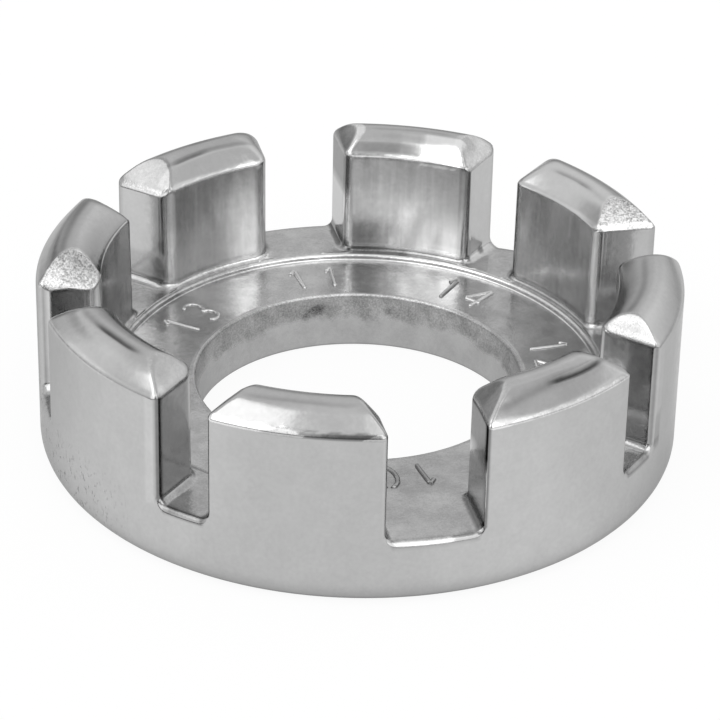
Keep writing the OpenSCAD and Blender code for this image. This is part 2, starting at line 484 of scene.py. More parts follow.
def jaw_shell(k):
    """Loop of columns round jaw k, from its crest down to where the fillets start. Rows run along
    straight lines in plan from the crest to the eaves, over the rounded eaves and down the wall.
    Returns the grid and the columns of its open side."""
    loop, cw, ccw = jaw_columns(k)
    start, end = ridge_end(k, 0), ridge_end(k, 1)
    if end < start:
        end += 2 * math.pi
    steps = wall_spacing()
    outer_a = ccw["a"][-1] + steps[1:-1] * (cw["a"][0] - ccw["a"][-1])
    r = np.concatenate([loop["r"], np.full(len(outer_a), RING_R)])
    a = np.concatenate([loop["a"], outer_a])
    foot_z = FLOOR_Z + np.concatenate([loop["fillet"], np.full(len(outer_a), SLOT_FILLET)])
    across = steps[1:-1] * (end - start)
    goal = np.concatenate([
        np.full(SIDE_COLUMNS, start), start + across, np.full(SIDE_COLUMNS, end), end - across])

    e = EAVE_R / (JAW_T / 2)
    omega = np.linspace(0, math.pi / 2, EAVE_STEPS + 1)
    inner_inset = e + (1 - e) * even_shares(ROOF_STEPS)[1:]
    inset = np.concatenate([e * (1 - np.cos(omega)), inner_inset])
    drop = np.concatenate([EAVE_DROP * (1 - np.sin(omega)), np.zeros(ROOF_STEPS)])
    edge_r = r + lean(r, WALL_TOP_Z)
    row_r = edge_r + inset[::-1, None] * (CREST_R - edge_r)
    row_a = a + inset[::-1, None] * (goal - a)
    row_z = roof_height(k, row_r, row_a) - drop[::-1, None]
    top_z = row_z[-1]
    rise = even_shares(RISE_STEPS)[1:, None]
    rise = 0.2 * rise + 0.8 * smooth_step(rise, 0, 1)
    wall_z = top_z + rise * (foot_z - top_z)
    wall_r = r + lean(r, wall_z)
    grid = np.concatenate([place(row_r, row_a, row_z), place(wall_r, a, wall_z)])
    return grid, loop


def foot_fillets(loop):
    """Foot of a jaw's columns: a quarter circle that turns each wall into the floor. Round the inner
    corner it flares outwards, and at the outer end it is swept along the edge of the notch, so that
    the jaw's outer corner runs on into the floor's outer edge."""
    phi = np.linspace(0, math.pi / 2, FILLET_STEPS + 1)[:, None]
    out, down = 1 - np.cos(phi), np.sin(phi)
    f = loop["fillet"]
    r = loop["r"] + lean(loop["r"], FLOOR_Z + f)
    flare = place(r, loop["a"], FLOOR_Z + f * (1 - down)) + place(f * out, loop["normal"], 0)
    reach = f + loop["depth"]
    t = r * np.sin(loop["side"] * (loop["a"] - loop["notch_a"])) - reach * out
    swept_a = loop["notch_a"] + loop["side"] * np.arcsin(np.clip(t / r, -1, 1))
    swept = place(r, swept_a, FLOOR_Z + f - reach * down)
    return np.where(loop["sweep"][:, None] > 0.5, swept, flare)


def polar(points):
    """Radius, angle and height of points."""
    x, y, z = points[..., 0], points[..., 1], points[..., 2]
    return np.hypot(x, y), np.arctan2(y, x), z


def span(left, right, steps):
    """Grid between two lines of points, even in angle, radius and height."""
    left, right = polar(left), polar(right)
    right = right[0], left[1] + turn_from(left[1], right[1]), right[2]
    s = even_shares(steps)
    return place(*(v[:, None] * (1 - s) + w[:, None] * s for v, w in zip(left, right)))


def arc(centre_r, centre_z, radius, start_deg, end_deg, steps):
    """Points of a rounded edge in the half section, without the last one."""
    turn = np.radians(np.linspace(start_deg, end_deg, steps + 1))[:-1]
    return np.stack([centre_r + radius * np.cos(turn), centre_z + radius * np.sin(turn)], -1)


def inner_section(start_r):
    """Half section from the foot of the jaws inwards: groove, the ledge's rounded bead, flange, bore
    and its two rounded edges, down to the base."""
    e = BORE_EDGE_R
    edge = LEDGE_IN_R
    flange = np.linspace(edge - HOLLOW_R, BORE_R + e, FLANGE_STEPS + 1)[:-1]
    bore = np.linspace(FLANGE_Z - e, e, BORE_STEPS + 1)[:-1]
    s = even_shares(GROOVE_STEPS)[2:-1]
    groove_r = start_r + s * (edge + BEAD_R - start_r)
    groove = np.stack([groove_r, FLOOR_Z - GROOVE_DEPTH * np.sin(math.pi * s)], -1)
    return np.concatenate([
        [[start_r, FLOOR_Z]],
        groove,
        arc(edge + BEAD_R, FLOOR_Z - BEAD_R, BEAD_R, 90, 180, 6),
        [[edge, FLOOR_Z - BEAD_R]],
        arc(edge - HOLLOW_R, FLANGE_Z + HOLLOW_R, HOLLOW_R, 0, -90, 5)[1:],
        np.stack([flange, np.full(len(flange), FLANGE_Z)], -1),
        arc(BORE_R + e, FLANGE_Z - e, e, 90, 180, 5),
        np.stack([np.full(len(bore), BORE_R), bore], -1),
        arc(BORE_R + e, e, e, 180, 270, 4),
        [[BORE_R + e, 0.0]],
    ])


def outer_rows(top):
    """Rows from the upper edge of the outer wall down: straight to the foot, then round it."""
    _, a, z = polar(top)
    share = even_shares(SKIRT_STEPS)[:, None]
    wall_z = z + share * (FOOT_R - z)
    wall = place(RING_R + lean(RING_R, wall_z), a, wall_z)
    turn = np.radians(np.linspace(0, -90, ROUND_STEPS + 1))[1:, None]
    foot_r = RING_R - FOOT_R + FOOT_R * np.cos(turn)
    foot_z = FOOT_R + FOOT_R * np.sin(turn)
    return np.concatenate([top[None], wall[1:], place(foot_r, a, foot_z)])


def falling_rows(grid):
    """A notch's mouth with radii that fall from row to row in its middle, where even steps between the
    two feet, which curve back a little, would fold it over itself."""
    r, a, z = polar(grid)
    falling = np.minimum.accumulate(r, 0) - ROW_FALL * np.arange(len(r))[:, None]
    s = even_shares(NOTCH_STEPS)
    share = smooth_step(np.minimum(s, 1 - s), 0, 0.25)
    return place(r + share * (falling - r), a, z)


def flange_ramp(r, angle):
    """In front of notch 1 the flange runs up to the notch's floor without a step: the share of that,
    and the height of a smooth step across the flange."""
    rise = (FLOOR_Z - FLANGE_Z) * smooth_step(r, RAMP_IN_R, RAMP_OUT_R)
    return window(angle, notch_angle(0), RAMP_HALF, RAMP_SOFT), rise


def inner_band(line):
    """The inner half section swept along the line of the jaws' feet, with the ramp of notch 1."""
    _, a, _ = polar(line)
    section = inner_section(JAW_IN_R - FOOT_FILLET)
    r, z = section[:, :1], section[:, 1:] + 0 * a
    share, rise = flange_ramp(r, a)
    z = np.where(z > FLANGE_Z - 0.01, z + share * (FLANGE_Z + rise - z), z)
    return np.concatenate([line[None], place(r, a, z)[1:]])


def casting_grids():
    """All grids of the casting, and its inner and outer rings of points on the base. Round each notch
    the two lines on which the inner band and the outer wall start are put together piece by piece."""
    shells, loops = zip(*(jaw_shell(k) for k in range(NOTCH_COUNT)))
    feet = [foot_fillets(loop) for loop in loops]
    grids = [np.concatenate([shell, shell[:, :1]], 1) for shell in shells] + feet
    inner_line, outer_line = [], []
    corner = CORNER_STEPS + SLOT_STEPS
    on_floor, in_mouth = slice(corner + 1), slice(corner, SIDE_COLUMNS)
    for k in range(NOTCH_COUNT):
        before, after = feet[k - 1][-1][::-1], feet[k][-1]
        floor = span(before[on_floor], after[on_floor], NOTCH_STEPS)
        mouth = falling_rows(span(before[in_mouth], after[in_mouth], NOTCH_STEPS))
        grids += [floor, mouth]
        wall_feet = after[SIDE_COLUMNS - 1:SIDE_COLUMNS + WALL_STEPS - 1]
        inner_line += [mouth[-1][:-1], wall_feet]
        low_row, count = shells[k][-1], len(after)
        face = np.concatenate([low_row[:1], low_row[count:][::-1]])
        outer_line += [floor[0][:-1], feet[k][::-1, 0][:-1], face, feet[k][:, -1][:-1]]
    band = inner_band(np.concatenate(inner_line + [inner_line[0][:1]]))
    skirt = outer_rows(np.concatenate(outer_line + [outer_line[0][:1]]))
    return grids + [band, skirt], band[-1][:-1], skirt[-1][:-1]


def ring_between(outer, inner):
    """Triangles of the flat base between two rings of points: the two lists of angles are merged, and
    each step forward on one ring makes one triangle."""
    full = 2 * math.pi
    outer_a, inner_a = np.unwrap(polar(outer)[1]), np.unwrap(polar(inner)[1])
    inner_a = inner_a + full * np.round((outer_a[0] - inner_a[0]) / full)
    n, m = len(outer_a), len(inner_a)
    ends = np.concatenate([outer_a[1:], outer_a[:1] + full, inner_a[1:], inner_a[:1] + full])
    on_outer = np.argsort(ends, kind="stable") < n
    outer_at = np.cumsum(on_outer) - on_outer
    inner_at = np.cumsum(~on_outer) - ~on_outer
    third = np.where(on_outer, (outer_at + 1) % n, n + (inner_at + 1) % m)
    return np.stack([outer_at % n, n + inner_at % m, third], -1)


def stitch(grids, extra_points=np.zeros((0, 3)), extra_faces=np.zeros((0, 3))):
    """Points, quads and triangles of one mesh from grids that share their borders: points that
    coincide are merged, quads with one doubled corner become triangles, and flat ones go."""
    points, faces = [], []
    base = 0
    for g in grids:
        rows, cols = g.shape[:2]
        index = base + np.arange(rows * cols).reshape(rows, cols)
        corners = [index[:-1, :-1], index[:-1, 1:], index[1:, 1:], index[1:, :-1]]
        faces.append(np.stack(corners, -1).reshape(-1, 4))
        points.append(g.reshape(-1, 3))
        base += rows * cols
    tris = extra_faces.astype(int) + base
    points.append(extra_points)
    points = np.concatenate(points)
    _, at, where = np.unique(np.round(points, 5), axis=0, return_index=True, return_inverse=True)
    where = where.reshape(-1)
    quads = where[np.concatenate(faces)]
    doubled = quads == np.roll(quads, -1, 1)
    count = doubled.sum(1)
    cut = quads[count == 1][~doubled[count == 1]].reshape(-1, 3)
    crossed = (quads[:, 0] == quads[:, 2]) | (quads[:, 1] == quads[:, 3])
    return points[at], quads[(count == 0) & ~crossed], np.concatenate([cut, where[tris]])


def bend(centre_x, centre_y, wide, high, start_deg, end_deg):
    """Part of an ellipse as a line of points, in shares of a numeral's box."""
    turn = np.radians(np.linspace(start_deg, end_deg, BEND_STEPS + 1))
    return np.stack([centre_x + wide * np.cos(turn), centre_y + high * np.sin(turn)], -1)


def straight(x0, y0, x1, y1):
    """A straight line of two points in shares of a numeral's box."""
    return np.array([[x0, y0], [x1, y1]])


# The plain numerals as strokes in a box that is 1 wide and 1 high
STROKES = {
    "0": [bend(0.5, 0.5, 0.42, 0.5, 90, 440)],
    "1": [straight(0.3, 0.82, 0.55, 1.0), straight(0.55, 1.0, 0.55, 0.0)],
    "2": [bend(0.5, 0.7, 0.4, 0.3, 160, -40), straight(0.8, 0.5, 0.1, 0.0), straight(0.1, 0.0, 0.92, 0.0)],
    "3": [bend(0.47, 0.74, 0.38, 0.26, 150, -90), bend(0.47, 0.25, 0.42, 0.25, 90, -150)],
    "4": [straight(0.72, 0.0, 0.72, 1.0), straight(0.72, 1.0, 0.05, 0.32), straight(0.05, 0.32, 0.95, 0.32)],
    "5": [straight(0.85, 1.0, 0.22, 1.0), straight(0.22, 1.0, 0.16, 0.55),
          bend(0.45, 0.31, 0.42, 0.31, 130, -140)],
}

# The gauge number in front of each notch, and the sizes of numerals and of their raised strokes
NUMBERS = ("10", "15", "12", "14", "11", "13", "12", "15")
NUMERAL_R = 12.05
NUMERAL_WIDE = 1.35
NUMERAL_HIGH = 2.5
NUMERAL_GAP = 0.8
STROKE_HALF = 0.15
STROKE_HIGH = 0.14
STROKE_SUNK = 0.06
STROKE_TAPER = 0.08
STROKE_STEPS = 30
BEAD_STEPS = 12


def along(line, count):
    """A line of points resampled evenly by its length."""
    reach = np.concatenate([[0], np.cumsum(np.hypot(*np.diff(line, axis=0).T))])
    at = np.linspace(0, reach[-1], count)
    return np.stack([np.interp(at, reach, line[:, 0]), np.interp(at, reach, line[:, 1])], -1)


def raised_stroke(line, angle):
    """One raised stroke: a bead with a round top is swept along the line, its ends taper to a point
    in a quarter circle, and the whole is bent round the flange."""
    path = along(line * [NUMERAL_WIDE, NUMERAL_HIGH], STROKE_STEPS + 1)
    tangent = np.gradient(path, axis=0)
    tangent = tangent / np.hypot(tangent[:, 0], tangent[:, 1])[:, None]
    sideways = np.stack([-tangent[:, 1], tangent[:, 0]], -1)
    s = even_shares(STROKE_STEPS)
    near_end = np.clip(1 - np.minimum(s, 1 - s) / STROKE_TAPER, 0, 1)
    taper = np.sqrt(1 - near_end ** 2)
    turn = np.linspace(0, 2 * math.pi, BEAD_STEPS + 1)
    out = STROKE_HALF * taper[:, None] * np.cos(turn)
    up = np.where(np.sin(turn) > 0, STROKE_HIGH, STROKE_SUNK) * taper[:, None] * np.sin(turn)
    flat_x = path[:, :1] + out * sideways[:, :1]
    flat_y = path[:, 1:] + out * sideways[:, 1:]
    r = NUMERAL_R + flat_y - NUMERAL_HIGH / 2
    a = angle - flat_x / NUMERAL_R
    share, rise = flange_ramp(r, a)
    return place(r, a, FLANGE_Z + share * rise + up)


def gauge_numerals():
    """Grids of the plain gauge numbers, one in front of each notch, read from the middle."""
    grids = []
    for i, number in enumerate(NUMBERS):
        wide = len(number) * NUMERAL_WIDE + (len(number) - 1) * NUMERAL_GAP
        for j, numeral in enumerate(number):
            start = j * (NUMERAL_WIDE + NUMERAL_GAP) - wide / 2
            angle = notch_angle(i) - start / NUMERAL_R
            grids += [raised_stroke(line, angle) for line in STROKES[numeral]]
    return grids


def hip_shares(r, a, z):
    """Shares on the hips and along the jaws' outer corners: grain, painted light and shade as tone, painted
    highlight strips and painted shade lines.
    """
    grain, tone, shine, edge = 0 * r, 0 * r, 0 * r, 0 * r
    for k in range(NOTCH_COUNT):
        for hand in (0, 1):
            t, off = from_slot(k, hand, r, a)
            near = (off > 0) & (off < 0.5)
            over = hip_height(k, r, a, hand) - z
            top = near & (z > WALL_TOP_Z - 0.45) & (r > JAW_IN_R - 0.5)
            on_hip = np.where(top, fade(over, 0.03, 0.12), 0)
            grain = np.maximum(grain, on_hip * HIP_GRAINS[k][hand])
            # Painted light and shade on the hip, then painted highlights along its foot and its ridge
            tone = tone + on_hip * HIP_PAINTED_TONES.get((k, hand), 0)
            rim = fade(t, 0.12, 0.4) * on_hip * HIP_RIM_HIGHLIGHTS.get((k, hand), 0)
            ridge = smooth_step(over, 0.0, 0.06) - smooth_step(over, 0.15, 0.4)
            ridge = ridge * (top & (z > WALL_TOP_Z + 0.15)) * HIP_RIDGE_HIGHLIGHTS.get((k, hand), 0)
            shine = np.maximum.reduce([shine, rim, ridge])
            # Painted shade line along the jaw's outer corner, next to its rounded edge
            line = fade(np.abs(t - 0.06), 0.08, 0.16)
            line = line * smooth_step(r, RING_R - 0.7, RING_R - 0.35)
            at_edge = near & (z > FLOOR_Z + 0.25) & (z < WALL_TOP_Z + 0.1)
            edge = np.where(at_edge, np.maximum(edge, line * CORNER_SHADE_LINES[k][hand]), edge)
    return grain, tone, shine, edge


def eave_shares(r, a, z):
    """Painted highlight and shade lines along the eaves. Each swells and fades in waves along the jaw."""
    shine, dark = 0 * r, 0 * r
    for k, outer, first, last, wide, gain in EAVE_HIGHLIGHTS_AND_SHADES:
        s = along_jaw(k, r, a)
        in_plan = RING_R - OUTER_LEAN - r if outer else r - JAW_IN_R - INNER_LEAN
        below = np.maximum(WALL_TOP_Z - 0.22 - z, 0)
        away = np.maximum(in_plan, 0) + 6 * below + 5 * np.maximum(-in_plan - 0.3, 0)
        ends = smooth_step(s, first, first + 0.1) * fade(s, last - 0.1, last)
        reach = wide * ends * (0.8 + 0.2 * np.sin(45 * s + k)) + 0.001
        line = fade(away, 0.5 * reach, reach) * (z > WALL_TOP_Z - 1) * (ends > 0)
        if gain > 0:
            shine = np.maximum(shine, line * gain)
        else:
            dark = np.maximum(dark, -line * gain)
    return shine, dark


def painted_light_patches(r, a, z):
    """Painted highlights and shade: lighter and darker places of the inner walls, the roofs, the slot walls
    and the flange.
    """
    tone = 0 * r
    for k, hand, up, half, soft, gain in SLOT_PAINTED_LIGHT:
        t, off = from_slot(k, hand, r, a)
        on_slot = (off > 0) & (t > -0.6) & (t < 0.05) & (z > FLOOR_Z + 0.02) & (z < WALL_TOP_Z - 0.1)
        tone = tone + on_slot * gain * bump_share(z, up, half, soft)
    low = (z > FLANGE_Z - 0.05) & (z < FLOOR_Z + 0.02) & (r < RING_R - 0.3)
    for where_deg, half, soft, gain in FLANGE_PAINTED_LIGHT:
        here = window(a, math.radians(where_deg), math.radians(half), math.radians(soft))
        tone = tone + low * here * gain
    inner = (r < JAW_IN_R + 0.3) & (z > FLOOR_Z + 0.05) & (z < WALL_TOP_Z)
    for k, share, half, soft, up, up_half, up_soft, shift, gain in WALL_PAINTED_LIGHT:
        s = along_jaw(k, r, a) - shift * (z - up)
        here = bump_share(s, share, half, soft) * bump_share(z, up, up_half, up_soft)
        tone = tone + inner * here * gain
    for k, share, half, soft, out, out_half, out_soft, gain in ROOF_PAINTED_LIGHT:
        s = along_jaw(k, r, a)
        here = bump_share(s, share, half, soft) * bump_share(r - CREST_R, out, out_half, out_soft)
        tone = tone + (z > WALL_TOP_Z) * here * gain
    return tone


def foot_shares(r, a, z):
    """Painted highlight lines on the ledge's bead, at a jaw's foot, on the front notch's outer edge and
    along the bore's rim, and painted shade round the base, in the groove behind the bead, at the
    notches' mouths and in one deep pit, with the bore's dark blotches."""
    bead = bump_share(r, LEDGE_IN_R + 0.04, 0.17, 0.1) * (z > FLANGE_Z + 0.003) * (z < FLOOR_Z + 0.2)
    back = sum(gain * window(a, math.radians(to), half, soft) for to, half, soft, gain in BEAD_HIGHLIGHTS)
    foot = bump_share(r, JAW_IN_R - 0.05, 0.12, 0.08) * bump_share(z, FLOOR_Z + 0.1, 0.1, 0.1)
    outside = smooth_step(r, RING_R - 0.5, RING_R - 0.3)
    front = bump_share(z, FLOOR_Z - 0.13, 0.08, 0.09) * window(a, notch_angle(0) - 0.034, 0.075, 0.03)
    bore = fade(r, BORE_R + 0.1, BORE_R + 0.25)
    rim = bore * smooth_step(z, FLANGE_Z - 0.12, FLANGE_Z - 0.05) * window(a, math.radians(76), 0.5, 0.4)
    # Painted highlights
    shines = [
        bead * np.clip(back, 0, 1),
        0.7 * foot * bump_share(along_jaw(4, r, a), 0.5, 0.5, 0.02),
        0.9 * outside * front,
        0.7 * rim,
    ]

    groove = bump_share(r, JAW_IN_R - 0.12, 0.2, 0.08) * (z > FLANGE_Z + 0.1) * (z < FLOOR_Z + 0.25)
    mouth = bump_share(z, FLOOR_Z - 0.1, 0.16, 0.14) * outside
    pit = np.hypot(PIT_R * (a - notch_angle(3) - PIT_TURN), np.hypot(r - PIT_R, z - PIT_Z))
    # Painted shade round the base and the bore's lower edge where they meet the floor, in the groove behind
    # the bead and in the deep pit; then the bore's dark blotches and the painted shade of the notches'
    # mouths
    darks = [
        0.88 * smooth_step(r, RING_R - 0.9, RING_R - 0.5) * fade(z, 0.22, 0.45),
        0.55 * fade(r, BORE_R + 0.05, BORE_R + 0.2) * fade(z, 0.08, 0.22),
        groove * bump_share(along_jaw(3, r, a), 0.72, 0.2, 0.1),
        0.4 * groove * bump_share(along_jaw(3, r, a), 0.4, 0.3, 0.1),
        1.2 * fade(pit, 0.2, 0.4),
    ]
    for where_deg, up, half, gain in BORE_BLOTCHES:
        away = np.hypot(BORE_R * turn_from(math.radians(where_deg), a), z - up)
        darks.append(gain * bore * fade(away, half, half + 0.25))
    for i, gain in SHADED_MOUTHS:
        half = 0.5 * NOTCH_WIDTHS[i] / RING_R
        darks.append(gain * mouth * window(a, notch_angle(i), half - 0.018, 0.014))
    return np.maximum.reduce(shines), np.maximum.reduce(darks)


def skin_shares(points):
    """Share of each kind of skin at every point: granular hips, drawn inner walls, as-cast flange and
    notch floors, the rough upper part of the bore, the pitted stretch of the outer wall, painted
    highlight lines, painted shade lines with the bore's dark blotches, and painted light and shade as tone."""
    r, a, z = polar(points)
    grain, tone, shine, edge = hip_shares(r, a, z)
    eave_highlight, eave_shade = eave_shares(r, a, z)
    foot_highlight, foot_shade = foot_shares(r, a, z)
    # The bright lines are painted highlights, the dark ones painted shade with the bore's dark blotches, and
    # the tone patches painted light and shade
    shine = np.maximum.reduce([shine, eave_highlight, foot_highlight])
    edge = np.maximum.reduce([edge, crease_share(r, a, z), eave_shade, foot_shade])
    tone = tone + painted_light_patches(r, a, z)
    wall = smooth_step(z, FLOOR_Z + 0.2, FLOOR_Z + 0.7) * (z < WALL_TOP_Z)
    wall = wall * fade(r, JAW_IN_R + 0.3, JAW_IN_R + 0.7)
    cast = smooth_step(r, BORE_R + 0.1, BORE_R + 0.4) * fade(z, FLOOR_Z + 0.1, FLOOR_Z + 0.3)
    cast = cast * smooth_step(z, FLANGE_Z - 0.35, FLANGE_Z - 0.15) * fade(r, RING_R - 0.3, RING_R - 0.1)
    bore = fade(r, BORE_R + 0.05, BORE_R + 0.25)
    pits = smooth_step(r, RING_R - 0.5, RING_R - 0.3) * window(a, *PITTED) * fade(z, *PITTED_FADE)
    return dict(grain=grain, edge=edge, shine=shine, glow=tone, wall=wall, cast=cast, bore=bore, pits=pits)


def numeral_shares(points):
    """The skin of the raised numerals: the flange's, with a painted highlight that brightens them, but for
    the front number and one stroke at the back right, which get painted shade darker than the flange."""
    shares = skin_shares(points)
    _, a, _ = polar(points)
    front = window(a, math.radians(-90), 0.35, 0.2)
    back_stroke = window(a, math.radians(49.5), 0.06, 0.03)
    shares["glow"] = shares["glow"] + 0.2 - 0.32 * front - 0.35 * back_stroke
    return shares


def write_mesh(name, points, quads, tris):
    """Mesh object in metres, smooth, with its faces outwards."""
    mesh = bpy.data.meshes.new(name)
    mesh.from_pydata((points * MM).tolist(), [], quads.tolist() + tris.tolist())
    mesh.validate()
    bm = bmesh.new()
    bm.from_mesh(mesh)
    bmesh.ops.recalc_face_normals(bm, faces=bm.faces)
    bm.to_mesh(mesh)
    bm.free()
    mesh.shade_smooth()
    piece = bpy.data.objects.new(name, mesh)
    bpy.context.scene.collection.objects.link(piece)
    return piece


def plated_piece(name, mesh, skin, steel):
    """A piece in the plate's material, with the shares of its skin as vertex attributes."""
    piece = write_mesh(name, *mesh)
    for key, values in skin(np.array([v.co for v in piece.data.vertices]) / MM).items():
        layer = piece.data.attributes.new(key, "FLOAT", "POINT")
        layer.data.foreach_set("value", values.astype(np.float32))
    piece.data.materials.append(steel)
    return piece


def linear(hex_colour):
    """sRGB hex to linear red, green, blue and alpha."""
    parts = [int(hex_colour[i:i + 2], 16) / 255 for i in (1, 3, 5)]
    return [v / 12.92 if v <= 0.04045 else ((v + 0.055) / 1.055) ** 2.4 for v in parts] + [1.0]


# Colours of the plate where the blots are dark and light, and of its reflection at a flat angle
PLATE_DARK = "#c3c3c3"
PLATE_LIGHT = "#c8c8c8"
PLATE_GLANCING = "#dddddd"

# Setting of a Map Range node whose ramp is smooth
SMOOTH = {"interpolation_type": "SMOOTHSTEP"}


def add_node(tree, kind, *inputs, **settings):
    """A new shader node. Its inputs come in the node's own order, and each is a value, an output, a
    node, which stands for its first output, or None, which leaves the input as it is. A setting has
    the name of one of the node's properties or inputs."""
    node = tree.nodes.new("ShaderNode" + kind)
    for name in [name for name in settings if hasattr(node, name)]:
        setattr(node, name, settings.pop(name))
    for key, value in [*enumerate(inputs), *settings.items()]:
        if isinstance(value, bpy.types.Node):
            value = next(output for output in value.outputs if output.enabled)
        if isinstance(value, bpy.types.NodeSocket):
            tree.links.new(value, node.inputs[key])
        elif value is not None:
            node.inputs[key].default_value = value
    return node


def add_parts(tree, total, parts):
    """A value plus its parts, each the product of a share, a value and a gain."""
    for share, value, gain in parts:
        part = add_node(tree, "Math", share, value, operation="MULTIPLY")
        total = add_node(tree, "Math", part, gain, total, operation="MULTIPLY_ADD")
    return total


def plated_steel():
    """Chrome-plated cast steel. The plate gives soft mirror reflections with blurred edges. The skin
    of the casting under it shows as orange peel and faint blots, as drawn streaks up the inner walls,
    as a grainy grey flange, as a dull band round the top of the bore and as sparkling, worn hips.
    Painted highlights and painted shade from the vertex attributes lighten and darken its colour."""
    mat = bpy.data.materials.new("chrome_plated_cast_steel")
    mat.use_nodes = True
    tree = mat.node_tree
    node = partial(add_node, tree)
    names = ("grain", "edge", "shine", "glow", "wall", "cast", "bore", "pits")
    grain, edge, shine, glow, wall, cast, bore, pits = [
        node("Attribute", attribute_name=name).outputs["Fac"] for name in names]

    # Places in millimetres, and the same drawn out upwards, more and less, and drawn out broadly
    where = node("VectorMath", node("TexCoord").outputs["Object"], Scale=1 / MM, operation="SCALE")
    drawn, tall, wide = [
        node("VectorMath", where, stretch, operation="MULTIPLY")
        for stretch in ((1.0, 1.0, 0.07), (1.0, 1.0, 0.5), (0.45, 0.45, 0.16))]

    # Patterns: place, size of a blot in millimetres, detail and roughness
    patterns = (
        (where, 1.6, 4.0, 0.6), (where, 0.45, 2.0, 0.5), (where, 0.11, 2.0, 0.6), (where, 0.25, 2.0, 0.5),
        (drawn, 0.3, 3.0, 0.6), (wide, 1.0, 2.0, 0.5), (tall, 0.2, 2.0, 0.5),
    )
    blots, peel, fine, sand, streaks, broad, dents = [
        node("TexNoise", at, Scale=1 / size_mm, Detail=detail, Roughness=roughness)
        for at, size_mm, detail, roughness in patterns]

    # The patterns again, as swings between -0.5 and 0.5 while they pass from low to high
    swings = (
        (fine, 0.3, 0.7), (sand, 0.3, 0.7), (blots, 0.3, 0.7),
        (blots, 0.35, 0.65), (streaks, 0.3, 0.7), (broad, 0.35, 0.7),
    )
    speck, grit, mottle, blotch, streak, cloud = [
        node("MapRange", pattern, low, high, -0.5, 0.5, **SMOOTH) for pattern, low, high in swings]

    # The dull band of the bore lies above a border that wanders with the blots
    border = node("Math", blots, 1.6, 1.25, operation="MULTIPLY_ADD")
    above = node("Math", node("SeparateXYZ", where).outputs["Z"], border, operation="SUBTRACT")
    dull = node("Math", bore, node("MapRange", above, -0.35, 0.35, **SMOOTH), operation="MULTIPLY")

    # Pits open where the dents are deep
    pit = node("Math", pits, node("MapRange", dents, 0.6, 0.68, **SMOOTH), operation="MULTIPLY")

    # Painted highlight lines break up where the peel is low
    height = node("Math", node("Math", peel, fine, operation="ADD"), -0.1, operation="ADD")
    ragged_highlight = node("Math", shine, height, operation="MULTIPLY")
    ragged_highlight = node("MapRange", ragged_highlight, 0.15, 0.8, **SMOOTH)

    # Tone: grey, so one value stands for the colour, and each kind of skin, painted highlight and painted
    # shade adds to it or takes away
    dark, light = linear(PLATE_DARK)[0], linear(PLATE_LIGHT)[0]
    tone = node("MapRange", blots, 0.25, 0.75, dark, light, **SMOOTH)
    # The edge share darkens with painted shade and the bore's dark blotches, and the ragged bright lines and
    # the tone patches add painted highlights and shade
    tone = add_parts(tree, tone, (
        (grain, speck, 0.5), (grain, grit, 0.25), (1.0, grit, 0.02), (edge, 1.0, -0.34),
        (cast, speck, 0.07), (cast, mottle, 0.1),
        (dull, speck, 0.18), (dull, blotch, 0.1), (dull, 1.0, -0.06),
        (bore, mottle, 0.05), (bore, speck, 0.02),
        (wall, streak, 0.06), (wall, 1.0, 0.03), (wall, cloud, 0.1),
        (1.0, ragged_highlight, 0.34), (1.0, glow, 1.0), (pit, 1.0, -0.16),
    ))
    colour = node("CombineColor", tone, tone, tone)

    # Roughness: near mirror on the polished outside, duller where the casting's skin is rough
    rough = node("MapRange", peel, 0.3, 0.7, 0.13, 0.2, **SMOOTH)
    rough = add_parts(tree, rough, (
        (grain, 1.0, 0.16), (cast, 1.0, 0.05), (dull, 1.0, 0.3), (wall, 1.0, 0.05), (pit, 1.0, 0.2),
    ))

    # Relief in millimetres
    relief = add_parts(tree, 0.0, (
        (1.0, peel, 0.005), (1.0, fine, 0.0012), (1.0, blots, 0.005),
        (grain, fine, 0.022), (cast, fine, 0.002), (cast, peel, 0.007), (cast, blots, 0.03),
        (dull, fine, 0.014), (wall, streaks, 0.0022), (wall, broad, 0.09), (pit, 1.0, -0.012),
    ))
    bump = node("Bump", Height=relief, Distance=MM)

    shader = tree.nodes["Principled BSDF"]
    shader.inputs["Metallic"].default_value = 1.0
    shader.inputs["Specular Tint"].default_value = linear(PLATE_GLANCING)
    for name, source in (("Base Color", colour), ("Roughness", rough), ("Normal", bump)):
        tree.links.new(source.outputs[0], shader.inputs[name])
    return mat


def set_camera():
    """Camera at the photograph's place. The numbers were found by fitting the ring's own circles."""
    elevation = math.radians(29.946)
    roll = math.radians(1.219)
    focal_px = 2700.4
    distance = 163.24
    shift_right = 0.084
    shift_up = 3.895
    back = np.array([0, -math.cos(elevation), math.sin(elevation)])
    right = np.array([1.0, 0, 0])
    up = np.cross(back, right)
    cam_right = math.cos(roll) * right + math.sin(roll) * up
    cam_up = -math.sin(roll) * right + math.cos(roll) * up
    at = shift_right * right + shift_up * up + distance * back
    spin = np.array(Matrix.Rotation(CAMERA_TURN, 3, "Z"))
    columns = [spin @ v for v in (cam_right, cam_up, back, at * MM)]
    camera = bpy.data.cameras.new("camera")
    camera.sensor_width = 36
    camera.lens = focal_px * camera.sensor_width / IMAGE_PX
    camera.clip_start = 0.01
    holder = bpy.data.objects.new("camera", camera)
    bpy.context.scene.collection.objects.link(holder)
    holder.matrix_world = Matrix([[c[row] for c in columns] for row in range(3)] + [[0, 0, 0, 1]])
    bpy.context.scene.camera = holder


def soft_window(tree, value, low, high, soft_low, soft_high):
    """1 while a value lies between low and high, with a smooth ramp outside each end."""
    rise = add_node(tree, "MapRange", value, low - soft_low, low, **SMOOTH)
    fall = add_node(tree, "MapRange", value, high, high + soft_high, 1.0, 0.0, **SMOOTH)
    return add_node(tree, "Math", rise, fall, operation="MULTIPLY")


